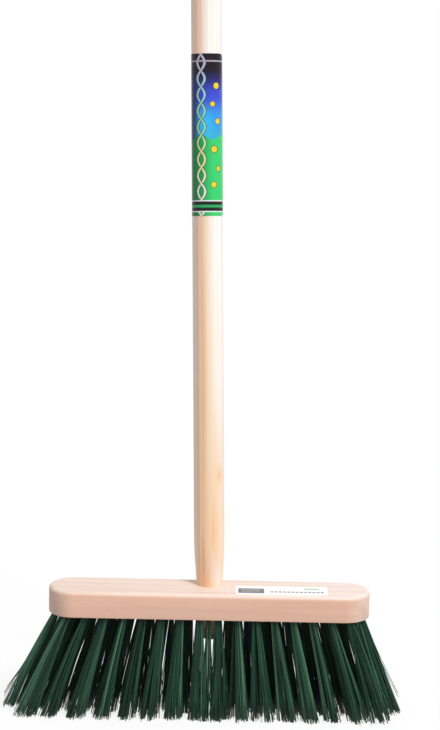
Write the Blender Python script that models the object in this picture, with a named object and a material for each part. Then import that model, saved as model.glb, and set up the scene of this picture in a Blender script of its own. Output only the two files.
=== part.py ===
"""A floor broom: a beech head filled with plastic bristle tufts, wedged on a leaning pine handle.

Lengths are in metres and +Z is up. X runs along the head. The handle leans back towards +Y, and
a little to the left, as such handles do when they are driven in by hand.
The broom stands on the tips of its middle tufts at z = 0. The origin is on that floor, at the
middle of the broom's whole width and depth.
"""

import random
from math import copysign, cos, pi, radians, sin, tan

import bmesh
import bpy
from mathutils import Vector

MM = 0.001

# Head block: a level bar with nearly half round ends, its top rim rounded and its bottom rim only
# eased
BLOCK_LENGTH = 300 * MM
BLOCK_DEPTH = 50 * MM
BLOCK_HEIGHT = 25 * MM
BLOCK_CORNER = 24 * MM
BLOCK_CORNER_STEPS = 8
TOP_RIM = 4 * MM
TOP_RIM_STEPS = 4
BOTTOM_RIM = 0.8 * MM
BOTTOM_RIM_STEPS = 1

# Bristle tufts: three staggered rows, each tuft set in its own blind hole under the block
BRISTLE_REACH = 97.5 * MM
TUFTS_EACH_SIDE = 8
TUFT_END_MARGIN = 8.5 * MM
TUFT_SIDE_MARGIN = 8.5 * MM
CENTRE_ROW_SHIFT = 1.5 * MM
TUFT_DIAMETER = 7 * MM
TUFT_HOLE_DEPTH = 14 * MM
TUFT_HOLE_SIDES = 12
MIDDLE_TUFT_DIAMETER = 4.5 * MM
FAN_LEFT = radians(24)
FAN_RIGHT = radians(20)
FAN_POWER = 1.1
ROW_SPLAY = radians(3.5)

# Strands: each tuft grows an inner and an outer strand from every side of its root plug
PLUG_SIDES = 5
INNER_RING_SHARE = 0.55
BEND_WIDTH_SHARE = 0.8
TIP_WIDTH_SHARE = 0.69
BEND_SHARE = 0.3
BEND_FLARE_SHARE = 0.18
TUFT_FLARE = 2.1
MIDDLE_TUFT_FLARE = 1.3
WANDER_SHARE = 0.08
TIP_RAGGED = 2.5 * MM
TIP_TRIM = 0.5 * MM
TIP_RISE_SHARE = 0.25
STRAND_SEED = 11

# Handle: a round rod whose tapered foot is driven through a slanting hole in the block
HANDLE_LENGTH = 1300 * MM
HANDLE_DIAMETER = 28.6 * MM
HANDLE_LEAN = radians(12)
HANDLE_SIDE_LEAN = radians(1.5)
HANDLE_CROWN = 8 * MM
HANDLE_SIDES = 32
TAPER_LENGTH = 85.5 * MM
TAPER_END_DIAMETER = 17 * MM
FOOT_STICKS_OUT = 27 * MM
FOOT_ROUND = 5 * MM
WALL_BEHIND_HANDLE = 2.5 * MM
ROUNDING_STEPS = 5

# Printed film round the handle, and the paper label on top of the block
SLEEVE_ABOVE_BLOCK = 345 * MM
SLEEVE_LENGTH = 151 * MM
SLEEVE_FILM = 0.3 * MM
LABEL_LENGTH = 86 * MM
LABEL_DEPTH = 27 * MM
LABEL_PAPER = 0.3 * MM
LABEL_CORNER = 1.5 * MM
LABEL_CORNER_STEPS = 3
LABEL_PLACE_SHARE = 0.45
LABEL_FROM_FRONT = 4 * MM

# Clearance between pieces that seat on or in each other, how far cutters overrun, and welding
FIT_GAP = 0.3 * MM
CUT_OVERRUN = 5 * MM
WELD_DISTANCE = 0.02 * MM
SHARP_ANGLE = radians(35)

BLOCK_TOP = BRISTLE_REACH + BLOCK_HEIGHT
LAST_TUFT_X = BLOCK_LENGTH / 2 - TUFT_END_MARGIN
TUFT_PITCH = (LAST_TUFT_X - CENTRE_ROW_SHIFT) / TUFTS_EACH_SIDE
ROW_Y = BLOCK_DEPTH / 2 - TUFT_SIDE_MARGIN

# Heights along the handle's own axis are counted from where it passes the block's top face
FOOT_END = -(BLOCK_HEIGHT / cos(HANDLE_LEAN) + FOOT_STICKS_OUT)
TAPER_START = FOOT_END + TAPER_LENGTH
HANDLE_END = FOOT_END + HANDLE_LENGTH


def taper_radius(height):
    """The foot's radius at a height along the handle's axis."""
    share = (height - FOOT_END) / TAPER_LENGTH
    return (TAPER_END_DIAMETER + (HANDLE_DIAMETER - TAPER_END_DIAMETER) * share) / 2


HOLE_HALF_DEPTH = (taper_radius(0) + FIT_GAP) / cos(HANDLE_LEAN)
HANDLE_Y = BLOCK_DEPTH / 2 - WALL_BEHIND_HANDLE - HOLE_HALF_DEPTH

# The head stands forward of the origin, so that the origin is midway between tips and handle end
FRONT_REACH = ROW_Y + BRISTLE_REACH * tan(ROW_SPLAY) + TUFT_DIAMETER * TUFT_FLARE / 2
BACK_REACH = HANDLE_Y + HANDLE_END * sin(HANDLE_LEAN) + HANDLE_DIAMETER / 2 * cos(HANDLE_LEAN)
HEAD_Y = (FRONT_REACH - BACK_REACH) / 2

# Finishes: linear colour and roughness
BEECH = ((0.80, 0.60, 0.46), 0.55)
PINE = ((0.86, 0.66, 0.42), 0.5)
FILM_BLUE = ((0.04, 0.13, 0.38), 0.25)
LABEL_WHITE = ((0.85, 0.85, 0.83), 0.5)
BRISTLE_GREEN = ((0.02, 0.09, 0.06), 0.45)


def add_part(name, mesh, base, look):
    """Put a finished mesh in the scene as one sub-part with its own finish."""
    color, roughness = look
    finish = bpy.data.materials.new(name + "_finish")
    finish.use_nodes = True
    shader = finish.node_tree.nodes["Principled BSDF"]
    shader.inputs["Base Color"].default_value = (*color, 1)
    shader.inputs["Roughness"].default_value = roughness
    shader.inputs["Metallic"].default_value = 0
    mesh.materials.append(finish)
    part = bpy.data.objects.new(name, mesh)
    part.parent = base
    bpy.context.collection.objects.link(part)
    return part


def add_cutter(name, mesh, base):
    """Put a mesh in the scene that only cuts other pieces."""
    cutter = bpy.data.objects.new(name, mesh)
    cutter.parent = base
    cutter.hide_render = True
    cutter.display_type = "WIRE"
    bpy.context.collection.objects.link(cutter)
    return cutter


def cut(part, cutter):
    """Take the cutter's shape out of the part."""
    boolean = part.modifiers.new(cutter.name, "BOOLEAN")
    boolean.operation = "DIFFERENCE"
    boolean.solver = "EXACT"
    boolean.object = cutter


def finish_mesh(name, shape):
    """Turn a bmesh into a mesh that is smooth but for its steep edges."""
    bmesh.ops.recalc_face_normals(shape, faces=shape.faces[:])
    mesh = bpy.data.meshes.new(name)
    shape.to_mesh(mesh)
    shape.free()
    mesh.shade_smooth()
    mesh.set_sharp_from_angle(angle=SHARP_ANGLE)
    return mesh


def turned_mesh(name, outline, closed):
    """Turn an outline of (radius, height) points about Z. A closed outline makes a ring."""
    shape = bmesh.new()
    points = [shape.verts.new((radius, 0, height)) for radius, height in outline]
    edges = [shape.edges.new(pair) for pair in zip(points, points[1:])]
    if closed:
        edges.append(shape.edges.new((points[-1], points[0])))
    bmesh.ops.spin(
        shape,
        geom=points + edges,
        cent=(0, 0, 0),
        axis=(0, 0, 1),
        angle=2 * pi,
        steps=HANDLE_SIDES,
        use_merge=True,
    )
    bmesh.ops.remove_doubles(shape, verts=shape.verts[:], dist=WELD_DISTANCE)
    return finish_mesh(name, shape)


def arc(center_x, center_y, radius, start, end, steps):
    """Points on an arc in the XY plane, both ends included."""
    angles = [start + (end - start) * i / steps for i in range(steps + 1)]
    return [(center_x + radius * cos(a), center_y + radius * sin(a)) for a in angles]


def plate(left, right, front, back, corner, steps, low, high):
    """A flat slab with round corners between two heights."""
    outline = arc(right - corner, front + corner, corner, -pi / 2, 0, steps)
    outline += arc(right - corner, back - corner, corner, 0, pi / 2, steps)
    outline += arc(left + corner, back - corner, corner, pi / 2, pi, steps)
    outline += arc(left + corner, front + corner, corner, pi, 3 * pi / 2, steps)
    shape = bmesh.new()
    face = shape.faces.new([shape.verts.new((x, y, low)) for x, y in outline])
    raised = bmesh.ops.extrude_face_region(shape, geom=[face])["geom"]
    corners = [item for item in raised if isinstance(item, bmesh.types.BMVert)]
    bmesh.ops.translate(shape, verts=corners, vec=(0, 0, high - low))
    return shape


def round_over(shape, edges, width, steps):
    """Round a rim's edges over to a width."""
    bmesh.ops.bevel(
        shape,
        geom=edges,
        offset=width,
        segments=steps,
        profile=0.5,
        affect="EDGES",
    )


def block_mesh():
    """The bar, its top and bottom rims rounded over."""
    half_length = BLOCK_LENGTH / 2
    half_depth = BLOCK_DEPTH / 2
    shape = plate(
        -half_length,
        half_length,
        -half_depth,
        half_depth,
        BLOCK_CORNER,
        BLOCK_CORNER_STEPS,
        BRISTLE_REACH,
        BLOCK_TOP,
    )
    level_edges = [edge for edge in shape.edges if edge.verts[0].co.z == edge.verts[1].co.z]
    top_rim = [edge for edge in level_edges if edge.verts[0].co.z > BRISTLE_REACH]
    bottom_rim = [edge for edge in level_edges if edge not in top_rim]
    round_over(shape, top_rim, TOP_RIM, TOP_RIM_STEPS)
    round_over(shape, bottom_rim, BOTTOM_RIM, BOTTOM_RIM_STEPS)
    return finish_mesh("block", shape)


def dome(radius, end, height):
    """Outline points from a rod's end on its axis out to its full radius, a quarter ellipse.
    The height is negative at a lower end."""
    angles = [pi / 2 * i / ROUNDING_STEPS for i in range(ROUNDING_STEPS + 1)]
    return [(radius * sin(a), end - height * (1 - cos(a))) for a in angles]


def handle_mesh():
    """The rod with a crowned top end and a tapered foot whose end is rounded off."""
    outline = dome(HANDLE_DIAMETER / 2, HANDLE_END, HANDLE_CROWN)
    outline.append((HANDLE_DIAMETER / 2, TAPER_START))
    outline += reversed(dome(taper_radius(FOOT_END + FOOT_ROUND), FOOT_END, -FOOT_ROUND))
    return turned_mesh("handle", outline, closed=False)


def handle_hole_mesh():
    """The tapered hole that the foot is driven into, cut a little past both faces."""
    low = -BLOCK_HEIGHT / cos(HANDLE_LEAN) - CUT_OVERRUN
    high = CUT_OVERRUN
    outline = [
        (0, high),
        (taper_radius(high) + FIT_GAP, high),
        (taper_radius(low) + FIT_GAP, low),
        (0, low),
    ]
    return turned_mesh("handle_hole", outline, closed=False)


def sleeve_mesh():
    """A thin film tube round the handle."""
    inner = HANDLE_DIAMETER / 2 + FIT_GAP
    outer = inner + SLEEVE_FILM
    low = SLEEVE_ABOVE_BLOCK
    high = low + SLEEVE_LENGTH
    outline = [(outer, high), (outer, low), (inner, low), (inner, high)]
    return turned_mesh("handle_sleeve", outline, closed=True)


def label_mesh():
    """A paper label on the block's top face, in its right half."""
    left = (BLOCK_LENGTH * LABEL_PLACE_SHARE - LABEL_LENGTH) / 2
    front = LABEL_FROM_FRONT - BLOCK_DEPTH / 2
    low = BLOCK_TOP + FIT_GAP
    shape = plate(
        left,
        left + LABEL_LENGTH,
        front,
        front + LABEL_DEPTH,
        LABEL_CORNER,
        LABEL_CORNER_STEPS,
        low,
        low + LABEL_PAPER,
    )
    return finish_mesh("head_label", shape)


def tuft_direction(x, y):
    """The way a tuft points: out towards the ends, and out to the front and back. One reach along
    it goes down less the more the tuft fans, and equally far in every row."""
    most = FAN_RIGHT if x > 0 else FAN_LEFT
    fan = copysign(most * (abs(x) / LAST_TUFT_X) ** FAN_POWER, x)
    splay = ROW_SPLAY * y / ROW_Y
    return Vector((sin(fan), cos(fan) * tan(splay), -cos(fan)))


def tuft_places():
    """Name, place and kind of each tuft. The outer rows stand between the middle row's tufts, a
    little nearer to the inner ones. The handle takes the places behind the middle, and one thin
    tuft fills the gap before its foot."""
    places = [("tuft_front_middle", 0, -ROW_Y, True)]
    for side, sign in (("left", -1), ("right", 1)):
        for i in range(TUFTS_EACH_SIDE):
            near = sign * (i + 0.5) * TUFT_PITCH
            midway = sign * ((i + 1) * TUFT_PITCH + CENTRE_ROW_SHIFT)
            places.append((f"tuft_front_{side}_{i + 1}", near, -ROW_Y, False))
            places.append((f"tuft_centre_{side}_{i + 1}", midway, 0, False))
            if abs(near) > HOLE_HALF_DEPTH:
                places.append((f"tuft_back_{side}_{i + 1}", near, ROW_Y, False))
    return places


def tuft_holes_mesh():
    """The blind holes in the block's underside, one along each tuft's own direction."""
    shape = bmesh.new()
    for name, x, y, thin in tuft_places():
        axis = tuft_direction(x, y).normalized()
        turn = axis.to_track_quat("Z", "Y").to_matrix().to_4x4()
        width = MIDDLE_TUFT_DIAMETER if thin else TUFT_DIAMETER
        depth = TUFT_HOLE_DEPTH + CUT_OVERRUN
        turn.translation = Vector((x, y, BRISTLE_REACH)) + axis * (CUT_OVERRUN - depth / 2)
        bmesh.ops.create_cone(
            shape,
            cap_ends=True,
            segments=TUFT_HOLE_SIDES,
            radius1=width / 2 + FIT_GAP,
            radius2=width / 2 + FIT_GAP,
            depth=depth,
            matrix=turn,
        )
    return finish_mesh("tuft_holes", shape)


def grow_strand(shape, cell, tuft_axis, flare, tip_height, wander):
    """Grow one strand from a cell of the plug's face: it parts from its neighbours, bends outwards
    and runs straight to a tip that is cut level. Its width follows the flare, so that strands
    never meet. Heights are counted from the root."""
    corners = [vert.co.copy() for vert in cell.verts]
    middle = sum(corners, Vector()) / len(corners)
    bend_flare = 1 + (flare - 1) * BEND_FLARE_SHARE
    bend = bmesh.ops.extrude_discrete_faces(shape, faces=[cell])["faces"][0]
    for vert, corner in zip(bend.verts, corners):
        offset = (corner - middle) * bend_flare * BEND_WIDTH_SHARE
        vert.co = middle * bend_flare + offset + tuft_axis * BEND_SHARE
    tip = bmesh.ops.extrude_discrete_faces(shape, faces=[bend])["faces"][0]
    for vert, corner in zip(tip.verts, corners):
        point = (middle + (corner - middle) * TIP_WIDTH_SHARE) * flare + wander
        vert.co = point + tuft_axis * ((tip_height - point.z) / tuft_axis.z)


def tuft_mesh(name, x, y, thin, chance):
    """A tuft: a plug that fills its hole, and the strands that grow from the plug's lower face."""
    axis = tuft_direction(x, y)
    radius = (MIDDLE_TUFT_DIAMETER if thin else TUFT_DIAMETER) / 2
    flare = MIDDLE_TUFT_FLARE if thin else TUFT_FLARE
    turn = axis.to_track_quat("Z", "Y")
    twist = chance.uniform(0, 2 * pi)
    angles = [twist + 2 * pi * i / PLUG_SIDES for i in range(PLUG_SIDES)]
    around = [turn @ Vector((cos(a), sin(a), 0)) for a in angles]
    up = -axis.normalized() * (TUFT_HOLE_DEPTH - FIT_GAP)

    shape = bmesh.new()
    center = shape.verts.new((0, 0, 0))
    inner = [shape.verts.new(point * radius * INNER_RING_SHARE) for point in around]
    outer = [shape.verts.new(point * radius) for point in around]
    top = [shape.verts.new(point * radius + up) for point in around]
    shape.faces.new(top)
    cells = []
    for i in range(PLUG_SIDES):
        after = (i + 1) % PLUG_SIDES
        shape.faces.new((outer[i], outer[after], top[after], top[i]))
        cells.append(shape.faces.new((center, inner[i], inner[after])))
        cells.append(shape.faces.new((inner[i], outer[i], outer[after], inner[after])))
    bmesh.ops.recalc_face_normals(shape, faces=shape.faces[:])

    most_wander = radius * flare * (1 - TIP_WIDTH_SHARE) * WANDER_SHARE
    fan_rise = BRISTLE_REACH * (1 + axis.z)
    natural_tip = fan_rise * TIP_RISE_SHARE - BRISTLE_REACH
    for cell in cells:
        ragged = chance.uniform(-TIP_TRIM, TIP_RAGGED)
        tip_height = max(-BRISTLE_REACH, natural_tip + ragged)
        wander = Vector((chance.uniform(-1, 1), chance.uniform(-1, 1), 0)) * most_wander
        grow_strand(shape, cell, axis * BRISTLE_REACH, flare, tip_height, wander)
    return finish_mesh(name, shape)


def build():
    """Make every piece of the broom under one base."""
    base = bpy.data.objects.new("broom", None)
    base.location = (0, HEAD_Y, 0)
    bpy.context.collection.objects.link(base)

    block = add_part("block", block_mesh(), base, BEECH)
    handle_hole = add_cutter("handle_hole", handle_hole_mesh(), base)
    tuft_holes = add_cutter("tuft_holes", tuft_holes_mesh(), base)
    cut(block, handle_hole)
    cut(block, tuft_holes)

    handle = add_part("handle", handle_mesh(), base, PINE)
    sleeve = add_part("handle_sleeve", sleeve_mesh(), base, FILM_BLUE)
    for piece in (handle, handle_hole, sleeve):
        piece.location = (0, HANDLE_Y, BLOCK_TOP)
        piece.rotation_euler = (-HANDLE_LEAN, -HANDLE_SIDE_LEAN, 0)

    add_part("head_label", label_mesh(), base, LABEL_WHITE)

    chance = random.Random(STRAND_SEED)
    for name, x, y, thin in tuft_places():
        tuft = add_part(name, tuft_mesh(name, x, y, thin, chance), base, BRISTLE_GREEN)
        tuft.location = (x, y, BRISTLE_REACH)


for leftover in list(bpy.data.objects):
    bpy.data.objects.remove(leftover, do_unlink=True)
build()
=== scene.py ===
"""A floor broom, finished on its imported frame: a beech head, a pine handle wrapped in printed film,
a paper label, and tufts of thin green filaments.

Lengths are in metres. X runs along the head, and the handle leans back towards +Y.
"""

import random
from math import copysign, cos, pi, radians, sin, sqrt, tan

import bmesh
import bpy
from mathutils import Euler, Matrix, Vector


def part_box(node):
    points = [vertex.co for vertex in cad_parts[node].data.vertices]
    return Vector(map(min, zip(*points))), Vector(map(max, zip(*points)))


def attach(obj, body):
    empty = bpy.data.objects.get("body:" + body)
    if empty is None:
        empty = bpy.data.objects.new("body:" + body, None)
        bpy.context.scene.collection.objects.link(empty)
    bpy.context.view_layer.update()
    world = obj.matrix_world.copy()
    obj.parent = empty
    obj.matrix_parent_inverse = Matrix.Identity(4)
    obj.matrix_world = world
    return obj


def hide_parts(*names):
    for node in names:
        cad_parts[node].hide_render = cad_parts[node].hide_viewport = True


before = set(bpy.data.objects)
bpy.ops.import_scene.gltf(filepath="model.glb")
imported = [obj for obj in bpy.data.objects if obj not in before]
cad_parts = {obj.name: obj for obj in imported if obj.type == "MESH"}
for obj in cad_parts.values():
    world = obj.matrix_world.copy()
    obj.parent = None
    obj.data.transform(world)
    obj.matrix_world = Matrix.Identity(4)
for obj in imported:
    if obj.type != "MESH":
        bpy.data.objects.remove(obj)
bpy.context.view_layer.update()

MM = 0.001

# The head block, from the frame
HEAD_LOW, HEAD_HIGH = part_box("block")
HEAD_MIDDLE = (HEAD_LOW + HEAD_HIGH) / 2
HEAD_SIZE = HEAD_HIGH - HEAD_LOW
HEAD_CORNER = 24 * MM
HEAD_CORNER_STEPS = 14
TOP_RIM = 4 * MM
TOP_RIM_STEPS = 7
BOTTOM_RIM = 0.8 * MM
BOTTOM_RIM_STEPS = 3
HEAD_SMOOTH = radians(32)

# The handle's seat is where its axis passes the head's top face
HANDLE_LENGTH = 1300 * MM
HANDLE_RADIUS = 14.3 * MM
HANDLE_LEAN = radians(12)
HANDLE_SIDE_LEAN = radians(1.5)
HANDLE_SIDES = 96
CROWN_HEIGHT = 8 * MM
TAPER_LENGTH = 85.5 * MM
TAPER_END_RADIUS = 8.5 * MM
FOOT_STICKS_OUT = 27 * MM
FOOT_ROUND = 5 * MM
RING_STEP = 5 * MM
SHOULDER_SOFTNESS = 9 * MM
DOME_STEPS = 7
DOME_TIP_STEP = 0.4
ROD_SMOOTH = radians(40)

# The seat leaves a thin wall at the head's back. The solids keep a wider gap in their holes than
# the dressed pieces do. A cutter runs on past the face that it opens.
WALL_BEHIND_HANDLE = 2.5 * MM
CAD_GAP = 0.3 * MM
HOLE_GAP = 0.1 * MM
OVERRUN = 8 * MM

FOOT_END = -(HEAD_SIZE.z / cos(HANDLE_LEAN) + FOOT_STICKS_OUT)
TAPER_START = FOOT_END + TAPER_LENGTH
HANDLE_END = FOOT_END + HANDLE_LENGTH
SEAT_RADIUS = TAPER_END_RADIUS + (HANDLE_RADIUS - TAPER_END_RADIUS) * -FOOT_END / TAPER_LENGTH
SEAT = Vector((
    HEAD_MIDDLE.x,
    HEAD_HIGH.y - WALL_BEHIND_HANDLE - (SEAT_RADIUS + CAD_GAP) / cos(HANDLE_LEAN),
    HEAD_HIGH.z,
))
HANDLE_TURN = Euler((-HANDLE_LEAN, -HANDLE_SIDE_LEAN, 0))
HANDLE_PLACE = Matrix.Translation(SEAT) @ HANDLE_TURN.to_matrix().to_4x4()

# The printed film is a sheet wrapped once round the handle. Its side edges stop just short of each
# other at the right, where the sheet's round corners show. The lift is from the wood to the
# middle of the film's thickness.
FILM_FROM_SEAT = 345 * MM
FILM_LENGTH = 151 * MM
FILM_LIFT = 0.16 * MM
FILM_RADIUS = HANDLE_RADIUS + FILM_LIFT
FILM_THICKNESS = 0.2 * MM
FILM_EDGE_ANGLE = radians(76)
FILM_SLIT = radians(9)
FILM_CORNER = 4 * MM
FILM_CORNER_STEPS = 6
FILM_STRIPS = 120
FILM_WIDTH = FILM_RADIUS * (2 * pi - FILM_SLIT)
FILM_RIGHT = FILM_RADIUS * FILM_EDGE_ANGLE

# The paper label lies on the head, right of the handle
LABEL_LOW, LABEL_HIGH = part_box("head_label")
LABEL_MIDDLE = (LABEL_LOW + LABEL_HIGH) / 2
LABEL_PAPER = 0.15 * MM
LABEL_CORNER = 1.5 * MM
LABEL_LIFT = 0.35 * MM
LABEL_LIFT_LENGTH = 16 * MM
LABEL_STRIPS = 24
LABEL_CORNER_STEPS = 4
LABEL_SMOOTH = radians(30)

# Tufts: three staggered rows in slanting holes
TUFTS_EACH_SIDE = 8
TUFT_END_MARGIN = 8.5 * MM
TUFT_SIDE_MARGIN = 8.5 * MM
CENTRE_ROW_SHIFT = 1.5 * MM
TUFT_RADIUS = 3.5 * MM
MIDDLE_TUFT_RADIUS = 2.25 * MM
HOLE_DEPTH = 14 * MM
HOLE_SIDES = 20
FAN_LEFT = radians(24)
FAN_RIGHT = radians(20)
FAN_POWER = 1.1
ROW_SPLAY = radians(3.5)
LAST_TUFT_X = HEAD_SIZE.x / 2 - TUFT_END_MARGIN
TUFT_PITCH = (LAST_TUFT_X - CENTRE_ROW_SHIFT) / TUFTS_EACH_SIDE
ROW_Y = HEAD_SIZE.y / 2 - TUFT_SIDE_MARGIN
BRISTLE_REACH = HEAD_LOW.z

# Filaments: each tuft's are rooted in its hole, spread with its flare and trimmed with the rest
FILAMENT_RADIUS = 0.3 * MM
FILAMENT_BENDS = (0.12, 0.3, 0.55, 0.8)
FILAMENTS = 104
MIDDLE_FILAMENTS = 48
ROOT_IN_HOLE = 5 * MM
TUFT_FLARE = 3.6
CENTRE_TUFT_FLARE = 3.9
MIDDLE_TUFT_FLARE = 5.4
FRONT_ROOT_SHARE = 0.85
FLARE_UNEVENNESS = 0.16
FLARE_POWER = 0.86
MIDDLE_FLARE_POWER = 1.5
BOW_SHARE = 0.03
TUFT_SWAY = 1.3 * MM
CLUMPS = 7
CLUMP_PULL = 0.4
TIP_SCATTER = 2.3 * MM
END_TIP_RISE = 3 * MM
END_TIP_POWER = 6
TIP_TRIM = 1.6 * MM
TIP_RAGGED = 1.6 * MM
STRAY_CHANCE = 0.08
STRAY_SCATTER = 6 * MM
END_STRAYS_LEFT = 8
END_STRAYS_RIGHT = 3
END_STRAY_REACH = 12 * MM
END_STRAY_LEAST = 0.4
END_STRAY_LIFT = (0.08, 0.24)
# The centre row's inner tufts are painted darker by this share of their tone, as painted shade
CENTRE_ROW_PAINTED_SHADE = 0.3
CLUMP_TONE_SHARE = 0.6
FILAMENT_SEED = 13

# The photograph's frame in pixels, its scale at the handle, two points of the handle's axis, and
# the row of pixels where the handle is seen square on
PHOTO_WIDTH = 440
PHOTO_HEIGHT = 730
PIXELS_PER_METRE = 1067
SEAT_PIXEL_Y = 584.3
AXIS_PIXEL_X = 208.3
SQUARE_PIXEL_Y = 270
VIEW_DISTANCE = 3.0
VIEW_ROLL = radians(1.16)
SENSOR_SIZE = 36

# The print on the film, measured on the flat sheet from its lower edge and its middle line
PRINT_EDGE = (0.12 * MM, -0.02 * MM)
MEADOW_TOP = 73.3 * MM
MEADOW_EDGE = 0.4 * MM
HILL_HEIGHT = 2.2 * MM
RIBBON_SIDE = -5.5 * MM
RIBBON_SWING = 3.6 * MM
RIBBON_TURN_LENGTH = 30 * MM

# The studio: white surroundings, one soft lamp and a white floor
SURROUND_STRENGTH = 0.55
LAMP_STRENGTH = 2.25
LAMP_SOFTNESS = radians(24)
LAMP_AZIMUTH = radians(44)
LAMP_HEIGHT = radians(48)
FLOOR_SIZE = 60
FLOOR_WHITE_SHARE = 0.85


def deselect():
    """Leave nothing selected, so that the next operator acts on its own piece alone."""
    bpy.ops.object.select_all(action="DESELECT")


def pick(piece):
    """Select one piece alone and make it the active one."""
    deselect()
    piece.select_set(True)
    bpy.context.view_layer.objects.active = piece


def edit(piece):
    """Pick one piece and enter edit mode on it."""
    pick(piece)
    bpy.ops.object.mode_set(mode="EDIT")


def leave_edit():
    """Go back to object mode."""
    bpy.ops.object.mode_set(mode="OBJECT")


def pick_edges(piece, test):
    """In edit mode, select only the edges whose two ends pass the test."""
    bpy.ops.mesh.select_mode(type="EDGE")
    bpy.ops.mesh.select_all(action="DESELECT")
    shape = bmesh.from_edit_mesh(piece.data)
    for edge in shape.edges:
        first, second = edge.verts
        edge.select_set(test(first.co, second.co))
    bmesh.update_edit_mesh(piece.data)


def settle(piece):
    """Move a piece's place and turn into its mesh, and point its faces outwards."""
    pick(piece)
    bpy.ops.object.transform_apply(location=True, rotation=True, scale=True)
    edit(piece)
    bpy.ops.mesh.select_all(action="SELECT")
    bpy.ops.mesh.normals_make_consistent(inside=False)
    leave_edit()


def carve(piece, cutter):
    """Cut a cutter's shape out of a piece and throw the cutter away."""
    cut = piece.modifiers.new("cut", "BOOLEAN")
    cut.operation = "DIFFERENCE"
    cut.solver = "EXACT"
    cut.object = cutter
    bpy.context.view_layer.objects.active = piece
    bpy.ops.object.modifier_apply(modifier=cut.name)
    bpy.data.objects.remove(cutter, do_unlink=True)


def dress(piece, name, finish, slot, *nodes):
    """Give a finished piece its name and finish, and let it stand for its solids in the frame."""
    piece.name = name
    piece.data.name = name
    piece.data.materials.clear()
    piece.data.materials.append(finish)
    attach(piece, "root")
    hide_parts(*nodes)
    deselect()


def draw_rod(rings, sides):
    """A closed rod drawn up from a disc, ring by ring. Each ring is (height, radius)."""
    height, radius = rings[0]
    bpy.ops.mesh.primitive_circle_add(
        vertices=sides, radius=radius, fill_type="NGON", location=(0, 0, height)
    )
    rod = bpy.context.object
    edit(rod)
    bpy.ops.mesh.select_all(action="SELECT")
    for next_height, next_radius in rings[1:]:
        bpy.ops.mesh.extrude_region_move(
            TRANSFORM_OT_translate={"value": (0, 0, next_height - height)}
        )
        change = next_radius / radius
        bpy.ops.transform.resize(
            value=(change, change, 1), center_override=(0, 0, next_height)
        )
        height, radius = next_height, next_radius
    leave_edit()
    return rod


def dome_rings(end, radius, height, rising):
    """Rings over a rod's rounded end, from its full radius to near its tip or the other way."""
    rings = []
    for step in range(DOME_STEPS + 1):
        angle = pi / 2 * (step + DOME_TIP_STEP) / (DOME_STEPS + DOME_TIP_STEP)
        rings.append((end - copysign(height, end) * (1 - cos(angle)), radius * sin(angle)))
    return rings[::-1] if rising else rings


def taper_radius(height):
    """The handle's radius at a height over its seat, the taper's shoulder softened."""
    share = (height - FOOT_END) / TAPER_LENGTH
    tapered = TAPER_END_RADIUS + (HANDLE_RADIUS - TAPER_END_RADIUS) * share
    softness = SHOULDER_SOFTNESS * (HANDLE_RADIUS - TAPER_END_RADIUS) / TAPER_LENGTH
    over = tapered - HANDLE_RADIUS
    return HANDLE_RADIUS + (over - sqrt(over * over + softness * softness)) / 2


def make_handle():
    """The pine handle: rounded foot, taper, soft shoulder, straight rod and domed top."""
    foot_radius = taper_radius(FOOT_END + FOOT_ROUND)
    rings = dome_rings(FOOT_END, foot_radius, FOOT_ROUND, rising=False)
    height = FOOT_END + FOOT_ROUND + RING_STEP
    while height < TAPER_START + 3 * SHOULDER_SOFTNESS:
        rings.append((height, taper_radius(height)))
        height += RING_STEP
    rings.append((FILM_FROM_SEAT, HANDLE_RADIUS))
    rings += dome_rings(HANDLE_END, HANDLE_RADIUS, CROWN_HEIGHT, rising=True)
    handle = draw_rod(rings, HANDLE_SIDES)
    handle.matrix_world = HANDLE_PLACE @ handle.matrix_world
    settle(handle)
    bpy.ops.object.shade_smooth_by_angle(angle=ROD_SMOOTH)
    return handle


def handle_hole():
    """A cutter along the handle's foot, a hair wider than it and past both faces of the head."""
    low = FOOT_END + FOOT_STICKS_OUT - OVERRUN
    rings = [(low, taper_radius(low) + HOLE_GAP), (OVERRUN, taper_radius(OVERRUN) + HOLE_GAP)]
    cutter = draw_rod(rings, HANDLE_SIDES)
    cutter.matrix_world = HANDLE_PLACE @ cutter.matrix_world
    settle(cutter)
    return cutter


def tuft_direction(x, y):
    """The way a tuft points: out towards the head's ends, and out to its front and back."""
    most = FAN_RIGHT if x > 0 else FAN_LEFT
    fan = copysign(most * (abs(x) / LAST_TUFT_X) ** FAN_POWER, x)
    splay = ROW_SPLAY * y / ROW_Y
    return Vector((sin(fan), cos(fan) * tan(splay), -cos(fan)))


def tuft_mouth(x, y):
    """Where a tuft leaves the head's underside."""
    return Vector((HEAD_MIDDLE.x + x, HEAD_MIDDLE.y + y, HEAD_LOW.z))


def tuft_places():
    """Each tuft's name, its x and y from the head's middle, and whether it is the thin one."""
    places = [("front_middle", 0, -ROW_Y, True)]
    for side, sign in (("left", -1), ("right", 1)):
        for i in range(TUFTS_EACH_SIDE):
            near = sign * (i + 0.5) * TUFT_PITCH
            midway = sign * ((i + 1) * TUFT_PITCH + CENTRE_ROW_SHIFT)
            places.append((f"front_{side}_{i + 1}", near, -ROW_Y, False))
            places.append((f"centre_{side}_{i + 1}", midway, 0, False))
            if abs(near) > SEAT_RADIUS:
                places.append((f"back_{side}_{i + 1}", near, ROW_Y, False))
    return places


def is_outermost(x):
    """Whether a tuft at this x is the last one on its side."""
    return abs(x) > LAST_TUFT_X - TUFT_PITCH / 4


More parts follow.
